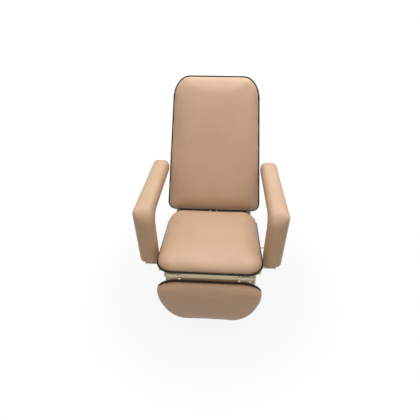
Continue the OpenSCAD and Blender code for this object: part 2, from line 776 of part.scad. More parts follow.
// Lockable gas spring: head on the release shaft, rod, barrel, valve pin
module gas_spring_head() color(black_plastic) at_gas() difference() {
    union() {
        along_x(-gas_head_w / 2, gas_head_w, shaft_r + gas_head_rim);
        translate([-gas_head_w / 2, 0, -gas_head_w / 2]) cube([gas_head_w, gas_head_l, gas_head_w]);
    }
    along_x(-gas_head_w, 2 * gas_head_w, shaft_r + run_gap);
    rotate([-90, 0, 0]) cylinder(h = gas_head_l, r = valve_r + run_gap);
    translate([0, rod_start, 0]) rotate([-90, 0, 0]) cylinder(h = rod_seat + 1, d = gas_rod_d);
}
module gas_spring_rod() color(zinc) at_gas() translate([0, rod_start, 0]) rotate([-90, 0, 0])
    difference() {
        cylinder(h = gas_barrel_start + gas_stroke + gas_rod_inside - rod_start, d = gas_rod_d);
        translate([0, 0, -1]) cylinder(h = valve_bore_l + 1, r = valve_r + run_gap);
    }
module valve_pin() color(zinc) at_gas() translate([0, valve_start, 0]) rotate([-90, 0, 0])
    cylinder(h = rod_start + valve_bore_l - valve_travel - valve_gap - valve_start, r = valve_r);

module gas_spring_barrel() color(black_plastic) at_gas() difference() {
    union() {
        translate([0, gas_barrel_start, 0]) rotate([-90, 0, 0])
            cylinder(h = gas_barrel_end - gas_barrel_start, d = gas_barrel_d);
        translate([0, gas_l, 0]) along_x(-gas_eye_w / 2, gas_eye_w, gas_eye_r);
        translate([-gas_neck[0] / 2, gas_barrel_end - 1, -gas_neck[2] / 2])
            cube([gas_neck[0], gas_eye_r, gas_neck[2]]);
    }
    translate([0, gas_l, 0]) along_x(-crank_plate_gap, 2 * crank_plate_gap, rod_pin_r + gas_rear_room);
    translate([0, gas_barrel_start - 1, 0]) rotate([-90, 0, 0])
        cylinder(h = gas_barrel_end - gas_barrel_start - gas_barrel_cap + 1, d = gas_rod_d + 2 * run_gap);
}

// Release lever: shaft through the head, flat lever at the right-hand end, round grip
module release_lever() color(zinc) translate([0, gas_front[0], gas_front[1]]) {
    difference() {
        along_x(hanger_places[0] - shaft_end, lever_x - hanger_places[0] + shaft_end, shaft_r);
        rotate([gas_a, 0, 0]) translate([-cam_w / 2, cam_flat, -shaft_r])
            cube([cam_w, shaft_r, 2 * shaft_r]);
    }
    plate(lever_x) rotate(lever_a) bar_2d(lever_l, lever_w);
}
module release_grip() color(black_plastic)
    translate([0, gas_front[0] + lever_l * cos(lever_a), gas_front[1] + lever_l * sin(lever_a)])
        along_x(lever_x + plate_t, grip_l, grip_r);

base_runner_left();
base_runner_right();
runner_end_caps();
floor_feet();
front_leg_left();
front_leg_right();
rear_leg_left();
rear_leg_right();
front_cross_tube();
rear_cross_tube();
seat_rail_left();
seat_rail_right();
seat_front_rail();
seat_middle_rail();
seat_rear_rail();
seat_board();
seat_cushion();
seat_piping();
frame_bolts();
back_hinge_brackets();
back_hinge_pins();
legrest_hinge_ears();
legrest_hinge_pins();
seat_apron();
arm_brackets();
arm_core_left();
arm_core_right();
arm_pad_left();
arm_pad_right();
release_hangers();
release_bushes();
back_side_tube_left();
back_side_tube_right();
back_top_tube();
back_torsion_tube();
back_crank_left();
back_crank_right();
back_hinge_bushes();
back_board();
back_cushion();
back_piping();
back_board_screws();
gas_spring_crank();
gas_spring_crank_pin();
tie_rod_rear_pins();
legrest_side_tube_left();
legrest_side_tube_right();
legrest_cross_tube();
legrest_hinge_arms();
legrest_board();
legrest_cushion();
legrest_piping();
tie_rod_front_pins();
tie_rod_left();
tie_rod_right();
gas_spring_barrel();
gas_spring_rod();
gas_spring_head();
valve_pin();
release_lever();
release_grip();
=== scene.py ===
"""Patient recliner chair: vinyl pads, black piping, powder-coated frame and recline mechanism."""

import json
import math

import bmesh
import bpy
from bpy.props import FloatProperty, FloatVectorProperty, PointerProperty
from mathutils import Matrix, Vector, noise


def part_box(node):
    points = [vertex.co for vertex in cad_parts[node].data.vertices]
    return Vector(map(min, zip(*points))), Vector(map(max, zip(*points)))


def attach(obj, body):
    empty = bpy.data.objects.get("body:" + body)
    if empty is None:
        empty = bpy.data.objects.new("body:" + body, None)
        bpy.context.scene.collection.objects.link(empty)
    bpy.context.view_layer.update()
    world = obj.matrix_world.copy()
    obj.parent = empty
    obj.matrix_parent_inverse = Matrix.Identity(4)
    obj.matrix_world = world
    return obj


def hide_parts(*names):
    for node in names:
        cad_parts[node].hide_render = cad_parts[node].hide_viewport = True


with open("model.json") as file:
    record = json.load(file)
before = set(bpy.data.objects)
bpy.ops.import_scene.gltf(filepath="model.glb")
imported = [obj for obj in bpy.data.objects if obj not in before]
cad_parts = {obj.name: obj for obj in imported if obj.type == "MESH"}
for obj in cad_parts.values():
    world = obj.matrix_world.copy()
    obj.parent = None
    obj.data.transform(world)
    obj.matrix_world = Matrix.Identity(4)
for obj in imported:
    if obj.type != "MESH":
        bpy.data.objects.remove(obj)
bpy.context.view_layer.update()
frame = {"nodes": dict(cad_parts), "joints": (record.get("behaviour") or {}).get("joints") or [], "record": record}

bl_info = {
    "name": "Patient Recliner Chair",
    "version": (1, 0, 0),
    "blender": (4, 5, 0),
    "location": "View3D > Sidebar > Recliner",
    "description": "Dresses a patient recliner in vinyl pads, piping, paint and fittings",
    "category": "Object",
}

MM = 0.001
TAU = 2 * math.pi
hinge_at = {j["name"]: Vector(j["pos_m"]) for j in frame["joints"] if j.get("pos_m")}
slot_of = {part["node"]: part["material_slot"] for part in frame["record"]["subparts"]}
bodies = frame["record"]["behaviour"]["bodies"]
body_of = {node: body for body, nodes in bodies.items() for node in nodes}
seat_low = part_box("seat_cushion")[0]
arm_low, arm_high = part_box("arm_pad_right")

# Half the side of the frame's square tubes
TUBE_HALF = 12.5 * MM
# Lean of the back and the legrest about X at rest, in degrees
BACK_LEAN = -22.0
LEGREST_LEAN = 5.5
# Height of the back pad above its hinge, and drop of the legrest pad below its own
BACK_LIFT = 18 * MM
LEGREST_DROP = 36 * MM
# Width and height of the legrest's upper corners
LEGREST_CORNER = (105 * MM, 80 * MM)
# Smallest radius that is left on a corner drawn in by an inset
LEAST_R = 4 * MM
# Finishes that differ from the record's slot, because the photograph shows them so
SHOWN_AS = {"back_hinge_bushes": "nylon"}


def length(name, default, description):
    """A length that the user can change, in metres."""
    return FloatProperty(
        name=name, default=default, min=0.0, unit="LENGTH", description=description
    )


def paint(name, default, description):
    """A colour that the user can change."""
    return FloatVectorProperty(
        name=name, default=default, size=3, min=0.0, max=1.0, subtype="COLOR",
        description=description,
    )


class PadSizes(bpy.types.PropertyGroup):
    """Sizes of the pads, their boards, their piping and the covers' mesh."""

    seat_front_w: length("Seat front width", 0.528, "Width of the seat pad at its front edge")
    seat_rear_w: length("Seat rear width", 0.514, "Width of the seat pad at its rear edge")
    seat_depth: length("Seat depth", 0.476, "Depth of the seat pad")
    seat_t: length("Seat thickness", 0.068, "Thickness of the seat pad at its middle")
    seat_front_r: length("Seat front corner", 0.084, "Radius of the seat's front corners")
    seat_rear_r: length("Seat rear corner", 0.096, "Radius of the seat's rear corners")
    back_length: length("Back length", 0.766, "Length of the back pad")
    back_low_w: length("Back lower width", 0.557, "Width of the back pad at its bottom")
    back_top_w: length("Back upper width", 0.486, "Width of the back pad at its top")
    back_t: length("Back thickness", 0.058, "Thickness of the back pad")
    back_corner_r: length("Back lower corner", 0.045, "Radius of the back's lower corners")
    shoulder_w: length("Shoulder width", 0.095, "Width of the back's rounded shoulders")
    shoulder_h: length("Shoulder height", 0.130, "Height of the back's rounded shoulders")
    legrest_w: length("Legrest width", 0.532, "Width of the legrest pad")
    legrest_l: length("Legrest length", 0.328, "Length of the legrest pad")
    legrest_t: length("Legrest thickness", 0.058, "Thickness of the legrest pad")
    toe_w: length("Toe corner width", 0.142, "Width of the legrest's rounded lower corners")
    toe_h: length("Toe corner height", 0.185, "Height of the legrest's rounded lower corners")
    board_t: length("Board thickness", 0.012, "Thickness of the boards behind the pads")
    piping_d: length("Piping diameter", 0.0076, "Diameter of the piping round the pads")
    voxel: length("Cover mesh", 0.007, "Edge length of the mesh of the swollen covers")


class ChairColours(bpy.types.PropertyGroup):
    """Colours of the chair's finishes."""

    vinyl: paint("Vinyl", (0.490, 0.315, 0.200), "Tan upholstery vinyl")
    piping: paint("Piping", (0.011, 0.009, 0.008), "Black piping")
    powder: paint("Powder coat", (0.880, 0.742, 0.555), "Cream powder coat of the steel frame")
    zinc: paint("Zinc", (0.560, 0.565, 0.580), "Zinc plate of pins, bolts and lever")
    plastic: paint("Plastic", (0.020, 0.020, 0.022), "Black moulded plastic")
    nylon: paint("Nylon", (0.640, 0.585, 0.480), "Natural nylon of the back's hinge bushes")
    cloth: paint("Dust cover", (0.022, 0.021, 0.021), "Black dust cover under the seat")
    floor: paint("Floor", (0.36, 0.36, 0.36), "Plain studio floor")


def sizes():
    """The sizes that the user has set."""
    return bpy.context.scene.recliner_sizes


def colours():
    """The colours that the user has set."""
    return bpy.context.scene.recliner_colours


class Wire:
    """A socket of a node tree that takes part in Python sums."""

    def __init__(self, nodes, socket):
        self.nodes = nodes
        self.socket = socket

    def sum(self, operation, first, second):
        """A Math node on two wires or numbers."""
        return self.nodes.add("ShaderNodeMath", {"operation": operation}, {0: first, 1: second})

    def __add__(self, other):
        return self.sum("ADD", self, other)

    def __radd__(self, other):
        return self.sum("ADD", other, self)

    def __sub__(self, other):
        return self.sum("SUBTRACT", self, other)

    def __rsub__(self, other):
        return self.sum("SUBTRACT", other, self)

    def __mul__(self, other):
        return self.sum("MULTIPLY", self, other)

    def __rmul__(self, other):
        return self.sum("MULTIPLY", other, self)


class Nodes:
    """The node tree of a material or of the world, filled node by node."""

    def __init__(self, owner, shader):
        owner.use_nodes = True
        self.tree = owner.node_tree
        self.shader = self.tree.nodes[shader]

    def add(self, kind, settings=None, inputs=None, output=0):
        """Any node: its settings are set first, then its sockets get their values or links."""
        node = self.tree.nodes.new(kind)
        for key, value in (settings or {}).items():
            setattr(node, key, value)
        for key, value in (inputs or {}).items():
            self.feed(node.inputs[key], value)
        return Wire(self, node.outputs[output])

    def feed(self, socket, value):
        """Links a wire to a socket, or sets the socket's own value."""
        if isinstance(value, Wire):
            self.tree.links.new(value.socket, socket)
        else:
            socket.default_value = value

    def set(self, **values):
        """Sockets of the shader, with underscores for the spaces in their names."""
        for key, value in values.items():
            self.feed(self.shader.inputs[key.replace("_", " ")], value)
        return self

    def seen(self):
        """1 for what the camera, a mirror or glass sees, 0 for what only gives light."""
        rays = ("Is Camera Ray", "Is Glossy Ray", "Is Transmission Ray")
        camera, mirror, glass = (self.add("ShaderNodeLightPath", output=ray) for ray in rays)
        return camera + mirror + glass


class Finish(Nodes):
    """A procedural material of one of the chair's finishes."""

    def __init__(self, name):
        self.material = bpy.data.materials.new(name)
        super().__init__(self.material, "Principled BSDF")
        self.place = self.add("ShaderNodeTexCoord", output="Object")

    def noise(self, scale, detail=2.0, rough=0.5, at=None):
        """Soft noise between 0 and 1."""
        inputs = {"Vector": at or self.place, "Scale": scale, "Detail": detail, "Roughness": rough}
        return self.add("ShaderNodeTexNoise", None, inputs, "Fac")

    def cells(self, scale, feature="DISTANCE_TO_EDGE"):
        """Distance to the nearest cell's edge or middle."""
        inputs = {"Vector": self.place, "Scale": scale}
        return self.add("ShaderNodeTexVoronoi", {"feature": feature}, inputs, "Distance")

    def steps(self, value, low, high):
        """0 below low, 1 above high, smooth between."""
        inputs = {"Value": value, "From Min": low, "From Max": high}
        return self.add("ShaderNodeMapRange", {"interpolation_type": "SMOOTHSTEP"}, inputs)

    def mix(self, share, first, second):
        """A colour between two colours."""
        as_colour = [c if isinstance(c, Wire) else (*c, 1.0) for c in (first, second)]
        inputs = {0: share, 6: as_colour[0], 7: as_colour[1]}
        return self.add("ShaderNodeMix", {"data_type": "RGBA"}, inputs, 2)

    def stretched(self, scale):
        """The place on the piece, stretched by a scale for each axis."""
        inputs = {0: self.place, 1: scale}
        return self.add("ShaderNodeVectorMath", {"operation": "MULTIPLY"}, inputs)

    def height(self):
        """Height above the floor."""
        return self.add("ShaderNodeSeparateXYZ", None, {0: self.place}, "Z")

    def relief(self, height, strength, distance):
        """Bumps from a height."""
        inputs = {"Height": height, "Strength": strength, "Distance": distance}
        return self.set(Normal=self.add("ShaderNodeBump", None, inputs))


def tint(colour, factor):
    """A colour made darker or lighter."""
    return tuple(min(1.0, c * factor) for c in colour)


def vinyl_finish(name, colour, grain, gloss, shine):
    """Upholstery vinyl: pebbled grain with painted shade in its crevices, faint mottling, a soft polish in
    patches.
    """
    f = Finish(name)
    pebbles = f.steps(f.cells(grain), 0.02, 0.22)
    pores = f.noise(grain * 3.2, 3.0)
    mottle = f.noise(7.0, 3.0, 0.55)
    patches = f.noise(23.0, 4.0, 0.6)
    base = f.mix(f.steps(mottle, 0.3, 0.7), tint(colour, 0.965), tint(colour, 1.03))
    # Painted shade: the colour is darkened in the crevices between the grain's pebbles
    shaded = f.mix((1 - pebbles) * 0.22, base, tint(colour, 0.72))
    f.set(Base_Color=shaded, Specular_IOR_Level=shine)
    f.set(Roughness=gloss + patches * 0.10 - pebbles * 0.05)
    f.relief(pebbles * 0.7 + pores * 0.35 + patches * 0.5, 0.16, 0.45 * MM)
    return f.material


def powder_finish(name, colour):
    """Powder-coated steel: orange peel, fine specks, scuffs near the floor."""
    f = Finish(name)
    peel = f.noise(420.0, 2.0)
    cloud = f.noise(9.0, 3.0)
    specks = f.steps(f.noise(1500.0, 1.0), 0.70, 0.78)
    scuffs = f.steps(f.noise(38.0, 5.0, 0.6, f.stretched((1.0, 0.25, 1.0))), 0.60, 0.78)
    low = f.steps(0.16 - f.height(), 0.0, 0.12)
    base = f.mix(f.steps(cloud, 0.3, 0.7), tint(colour, 0.96), tint(colour, 1.04))
    specked = f.mix(specks * 0.14, base, tint(colour, 0.75))
    grime = (0.34, 0.30, 0.25)
    worn = f.mix(scuffs * (0.04 + low * 0.22), specked, grime)
    f.set(Base_Color=worn, Roughness=0.34 + peel * 0.10 + scuffs * 0.12)
    f.set(Specular_IOR_Level=0.5)
    f.relief(peel * 0.8 + cloud * 0.3, 0.10, 0.30 * MM)
    return f.material


def zinc_finish(name, colour):
    """Zinc-plated steel: soft brushing and a cloudy, yellowed film."""
    f = Finish(name)
    brushed = f.noise(900.0, 2.0, 0.6, f.stretched((0.12, 1.0, 1.0)))
    cloud = f.noise(70.0, 4.0, 0.6)
    yellowed = (0.66, 0.64, 0.58)
    base = f.mix(f.steps(cloud, 0.35, 0.7), tint(colour, 0.86), yellowed)
    f.set(Base_Color=base, Metallic=1.0, Roughness=0.24 + brushed * 0.14 + cloud * 0.08)
    f.relief(brushed, 0.08, 0.15 * MM)
    return f.material


def plastic_finish(name, colour, texture, rough):
    """Moulded plastic or rubber: spark-eroded texture and a film of dust."""
    f = Finish(name)
    eroded = f.noise(texture, 3.0, 0.6)
    dust = f.steps(f.noise(45.0, 5.0, 0.65), 0.5, 0.75)
    base = f.mix(dust * 0.35, colour, tuple(c + 0.035 for c in colour))
    f.set(Base_Color=base, Roughness=rough + eroded * 0.16 + dust * 0.08)
    f.relief(eroded, 0.14, 0.22 * MM)
    return f.material


def enamel_finish(name, colour):
    """Gloss black enamel of the gas spring's barrel."""
    f = Finish(name)
    ripple = f.noise(160.0, 2.0)
    marks = f.steps(f.noise(85.0, 5.0, 0.7, f.stretched((1.0, 0.2, 1.0))), 0.58, 0.70)
    dulled = (0.06, 0.06, 0.06)
    f.set(Base_Color=f.mix(marks * 0.4, colour, dulled))
    f.set(Roughness=0.20 + marks * 0.25, Coat_Weight=0.25, Coat_Roughness=0.12)
    f.relief(ripple, 0.05, 0.2 * MM)
    return f.material


def cloth_finish(name, colour):
    """Bonded black dust cover: pressed dots and loose fibres."""
    f = Finish(name)
    dots = f.steps(f.cells(520.0, "F1"), 0.15, 0.45)
    fibres = f.noise(700.0, 5.0, 0.7, f.stretched((1.0, 0.35, 1.0)))
    base = f.mix(fibres, tint(colour, 0.6), tint(colour, 1.9))
    pressed = f.mix((1 - dots) * 0.5, base, tint(colour, 0.4))
    f.set(Base_Color=pressed, Roughness=0.86 + fibres * 0.1)
    f.relief(dots * 0.6 + fibres * 0.5, 0.3, 0.3 * MM)
    return f.material


def floor_finish(name, colour):
    """Plain floor, white to the eye far from the chair, that keeps the chair's soft shadow."""
    f = Finish(name)
    speckle = f.noise(120.0, 3.0)
    f.set(Base_Color=f.mix(speckle, tint(colour, 0.98), tint(colour, 1.02)), Roughness=0.75)
    f.set(Specular_IOR_Level=0.1)
    away = f.add("ShaderNodeVectorMath", {"operation": "LENGTH"}, {0: f.place}, "Value")
    share = f.seen() * (0.90 + 0.10 * f.steps(away, 0.30, 1.0))
    glow = f.add("ShaderNodeEmission", None, {"Strength": 1.0})
    lit = Wire(f, f.shader.outputs[0])
    shown = f.add("ShaderNodeMixShader", None, {0: share, 1: lit, 2: glow})
    f.feed(f.tree.nodes["Material Output"].inputs["Surface"], shown)
    return f.material


finishes = {}


def finish_for(slot):
    """The material of one of the record's slots or of SHOWN_AS, made once."""
    if not finishes:
        c = colours()
        finishes.update(
            vinyl=vinyl_finish("tan_vinyl", tuple(c.vinyl), 640.0, 0.42, 0.36),
            piping=vinyl_finish("black_piping", tuple(c.piping), 1100.0, 0.50, 0.22),
            board=cloth_finish("dust_cover_cloth", tuple(c.cloth)),
            cream_steel=powder_finish("cream_powder_coat", tuple(c.powder)),
            zinc=zinc_finish("zinc_plate", tuple(c.zinc)),
            black_steel=enamel_finish("black_enamel", tuple(c.plastic)),
            black_plastic=plastic_finish("black_plastic", tuple(c.plastic), 1300.0, 0.46),
            rubber=plastic_finish("foot_rubber", tint(tuple(c.plastic), 1.3), 800.0, 0.68),
            nylon=plastic_finish("natural_nylon", tuple(c.nylon), 1100.0, 0.40),
        )
    return finishes[slot]


class Shape:
    """Points and faces of one piece, gathered part by part in the chair's own frame."""

    def __init__(self):
        self.points = []
        self.faces = []

    def add(self, points, faces, place=None):
        """More points and faces, put in their place."""
        start = len(self.points)
        place = place or Matrix.Identity(4)
        flip = place.determinant() < 0
        self.points += [place @ Vector(p) for p in points]
        for face in faces:
            moved = [start + i for i in face]
            self.faces.append(moved[::-1] if flip else moved)

    def loft(self, rings, place=None, capped=True, looped=False):
        """A skin over rings of the same number of points, each ring closed."""
        n = len(rings[0])
        count = len(rings)
        faces = []
        for k in range(count if looped else count - 1):
            a, b = k * n, ((k + 1) % count) * n
            for i in range(n):
                j = (i + 1) % n
                faces.append((a + i, a + j, b + j, b + i))
        if capped and not looped:
            faces.append(tuple(reversed(range(n))))
            faces.append(tuple(range((count - 1) * n, count * n)))
        self.add([p for ring in rings for p in ring], faces, place)

    def build(self, name, slot, body, sharp=35.0, replaced=()):
        """A piece that rides on a body and takes its finish from a slot."""
        mesh = bpy.data.meshes.new(name)
        mesh.from_pydata([tuple(p) for p in self.points], [], self.faces)
        mesh.validate()
        work = bmesh.new()
        work.from_mesh(mesh)
        bmesh.ops.recalc_face_normals(work, faces=work.faces)
        work.to_mesh(mesh)
        work.free()
        mesh.shade_smooth()
        if sharp:
            mesh.set_sharp_from_angle(angle=math.radians(sharp))
        piece = bpy.data.objects.new(name, mesh)
        bpy.context.scene.collection.objects.link(piece)
        if slot:
            mesh.materials.append(finish_for(slot))
        if body:
            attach(piece, body)
        if replaced:
            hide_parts(*replaced)
        return piece


def turned(profile, sides=32, flats=None):
    """Rings round Z from (radius, height) steps; flats maps a step to a radius for each angle."""
    rings = []
    for k, (r, z) in enumerate(profile):
        shape = (flats or {}).get(k)
        ring = []
        for i in range(sides):
            a = TAU * i / sides
            radius = shape(a, r) if shape else r
            ring.append((radius * math.cos(a), radius * math.sin(a), z))
        rings.append(ring)
    return rings


def hexagon(angle, r):
    """Radius of a hexagon of corner radius r."""
    off = (angle + math.pi / 6) % (math.pi / 3) - math.pi / 6
    return r * math.cos(math.pi / 6) / math.cos(math.pi / 6 - abs(off))


def cross(angle, r):
    """Radius of a cross recess with arms of length r."""
    off = abs((angle + math.pi / 4) % (math.pi / 2) - math.pi / 4)
    return min(r, 0.24 * r / max(math.sin(off), 0.05))


def facing(at, direction):
    """A place at a point whose Z axis looks in a direction."""
    turn = Vector(direction).to_track_quat("Z", "Y").to_matrix().to_4x4()
    return Matrix.Translation(at) @ turn


def middle(low, high):
    """The middle of a box."""
    return Vector([(a + b) / 2 for a, b in zip(low, high)])


def box_of(points):
    """Lowest and highest corners of some points."""
    return [Vector([pick(p[k] for p in points) for k in range(3)]) for pick in (min, max)]


def islands(node):
    """Lowest and highest corners of each separate solid of a CAD node."""
    work = bmesh.new()
    work.from_mesh(frame["nodes"][node].data)
    bmesh.ops.remove_doubles(work, verts=work.verts, dist=0.01 * MM)
    left = set(work.verts)
    boxes = []
    while left:
        edge = [left.pop()]
        members = list(edge)
        while edge:
            for link in edge.pop().link_edges:
                for v in link.verts:
                    if v in left:
                        left.discard(v)
                        edge.append(v)
                        members.append(v)
        boxes.append(box_of([v.co for v in members]))
    work.free()
    return sorted(boxes, key=lambda b: tuple(round(c, 5) for c in b[0]))


def mm(*steps):
    """Steps given in millimetres, in metres."""
    return [tuple(v * MM for v in step) for step in steps]


def ease(low, high, value):
    """0 below low, 1 above high, smooth between."""
    t = min(1.0, max(0.0, (value - low) / (high - low)))
    return t * t * (3 - 2 * t)


def arc(cx, cy, rx, ry, start, end, count):
    """Points of an elliptic arc, angles in degrees."""
    points = []
    for i in range(count + 1):
        a = math.radians(start + (end - start) * i / count)
        points.append((cx + rx * math.cos(a), cy + ry * math.sin(a)))
    return points


def pad_outline(w0, w1, l, c0, c1, inset, count):
    """Outline of a pad, drawn in by an inset: width w0 and corners c0 at 0, w1 and c1 at l."""
    h0, h1 = w0 / 2 - inset, w1 / 2 - inset
    r0, r1 = ([max(c - inset, LEAST_R) for c in corner] for corner in (c0, c1))
    return (
        arc(h0 - r0[0], inset + r0[1], r0[0], r0[1], -90, 0, count)
        + arc(h1 - r1[0], l - inset - r1[1], r1[0], r1[1], 0, 90, count)
        + arc(r1[0] - h1, l - inset - r1[1], r1[0], r1[1], 90, 180, count)
        + arc(r0[0] - h0, inset + r0[1], r0[0], r0[1], 180, 270, count)
    )


class Pad:
    """One of the three pads, drawn flat: its outline, edge, crown and place on the chair.

    calm tells how far the creases of its cover fade.
    """

    def __init__(self, name, body, widths, l, corners, t, edge_r, place, crown=4.0 * MM, calm=18):
        self.name = name
        self.body = body
        self.widths = widths
        self.l = l
        self.corners = corners
        self.t = t
        self.edge_r = edge_r
        self.place = place
        self.crown = crown
        self.calm = calm

    def outline(self, inset, count=14):
        """The pad's outline, drawn in by an inset."""
        return pad_outline(*self.widths, self.l, *self.corners, inset, count)

    def ring(self, inset, height):
        """The pad's outline at a height."""
        return [(x, y, height) for x, y in self.outline(inset)]

    def path(self, inset, step):
        """Points at an even step along the outline, with the outward direction at each."""
        corners = [Vector(p) for p in self.outline(inset, 24)]
        loop = corners + corners[:1]
        spans = [(b - a).length for a, b in zip(loop, loop[1:])]
        count = round(sum(spans) / step)
        pitch = sum(spans) / count
        points, k, gone = [], 0, 0.0
        for i in range(count):
            while gone + spans[k] < i * pitch:
                gone += spans[k]
                k += 1
            points.append(loop[k].lerp(loop[k + 1], (i * pitch - gone) / max(spans[k], 1e-9)))
        ways = [points[(i + 1) % count] - points[i - 1] for i in range(count)]
        return [(p, Vector((w.y, -w.x)).normalized()) for p, w in zip(points, ways)]


def tilted(joint, degrees):
    """The place of a hinge, leaning by an angle about X."""
    return Matrix.Translation(hinge_at[joint]) @ Matrix.Rotation(math.radians(degrees), 4, "X")


def back_place():
    """The back's own place: origin at its hinge, Z along the back."""
    return tilted("recline", BACK_LEAN)


def back_box(node):
    """Lowest and highest corners of a CAD node, measured along the back."""
    flat = back_place().inverted()
    return box_of([flat @ v.co for v in frame["nodes"][node].data.vertices])


def pads():
    """The seat, back and legrest pads."""
    s = sizes()
    quarter = Matrix.Rotation(math.pi / 2, 4, "X")
    on_tubes = Matrix.Translation((0, -(TUBE_HALF + s.board_t), BACK_LIFT))
    under_hinge = Matrix.Translation((0, 1 * MM, -LEGREST_DROP))
    on_legrest = tilted("legrest_lift", LEGREST_LEAN) @ under_hinge
    on_legrest = on_legrest @ Matrix.Rotation(math.pi, 4, "Z") @ quarter.inverted()
    return [
        Pad(
            "seat", "base", (s.seat_front_w, s.seat_rear_w), s.seat_depth,
            ((s.seat_front_r,) * 2, (s.seat_rear_r,) * 2), s.seat_t,
            edge_r=46 * MM, place=Matrix.Translation((0, seat_low.y, seat_low.z)),
        ),
        Pad(
            "back", "backrest", (s.back_low_w, s.back_top_w), s.back_length,
            ((s.back_corner_r,) * 2, (s.shoulder_w, s.shoulder_h)), s.back_t,
            edge_r=38 * MM, place=back_place() @ on_tubes @ quarter, crown=1.4 * MM, calm=30,
        ),
        Pad(
            "legrest", "legrest", (s.legrest_w, s.legrest_w), s.legrest_l,
            (LEGREST_CORNER, (s.toe_w, s.toe_h)), s.legrest_t,
            edge_r=46 * MM, place=on_legrest,
        ),
    ]


def apply_modifiers(piece):
    """Puts what the modifiers make into the piece's own mesh."""
    graph = bpy.context.evaluated_depsgraph_get()
    made = bpy.data.meshes.new_from_object(piece.evaluated_get(graph))
    piece.modifiers.clear()
    old, piece.data = piece.data, made
    bpy.data.meshes.remove(old)


def cover(name, rings, place=None):
    """A closed skin over rings, with an even mesh over its whole surface."""
    shape = Shape()
    shape.loft(rings, place)
    piece = shape.build(name, None, None, sharp=None)
    even = piece.modifiers.new("even", "REMESH")
    even.mode = "VOXEL"
    even.voxel_size = sizes().voxel
    apply_modifiers(piece)
    return piece


def upholster(piece, body, node):
    """Gives a cover its vinyl, the body that it rides on and the cushion that it stands for."""
    piece.data.materials.clear()
    piece.data.materials.append(finish_for("vinyl"))
    piece.data.shade_smooth()
    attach(piece, body)
    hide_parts(node)


# Settings of the vinyl as cloth, and the number of frames for which it swells
CLOTH = {
    "quality": 3,
    "mass": 0.3,
    "tension_stiffness": 18,
    "compression_stiffness": 18,
    "shear_stiffness": 8,
    "bending_stiffness": 12.0,
    "use_pressure": True,
    "vertex_group_mass": "held",
}
SWELL_FRAMES = 20


def swell(piece, held, pressure, cap, sideways, calm):
    """Swells a closed cover like cloth over foam.

    held tells which points stay, cap is the furthest that any point goes, sideways the
    share of that which is left to moves along the pad, and calm how far creases fade.
    """
    start = [v.co.copy() for v in piece.data.vertices]
    group = piece.vertex_groups.new(name="held")
    group.add([v.index for v in piece.data.vertices if held(v.co)], 1.0, "REPLACE")
    cloth = piece.modifiers.new("cover", "CLOTH")
    for key, value in CLOTH.items():
        setattr(cloth.settings, key, value)
    cloth.settings.uniform_pressure_force = pressure
    cloth.settings.effector_weights.gravity = 0.0
    cloth.collision_settings.use_collision = False
    cloth.point_cache.frame_start = 1
    cloth.point_cache.frame_end = SWELL_FRAMES
    for step in range(SWELL_FRAMES):
        bpy.context.scene.frame_set(step + 1)
    apply_modifiers(piece)
    bpy.context.scene.frame_set(1)
    for v, rest in zip(piece.data.vertices, start):
        move = v.co - rest
        move.x *= sideways
        move.y *= sideways
        far = max(move.length, 1e-9)
        v.co = rest + move * (cap * math.tanh(far / cap) / far)
    even = piece.modifiers.new("even_out", "SMOOTH")
    even.factor = 0.5
    even.iterations = calm
    apply_modifiers(piece)
    finer = piece.modifiers.new("finer", "SUBSURF")
    finer.levels = 1
    finer.render_levels = 1
    apply_modifiers(piece)
    piece.vertex_groups.clear()


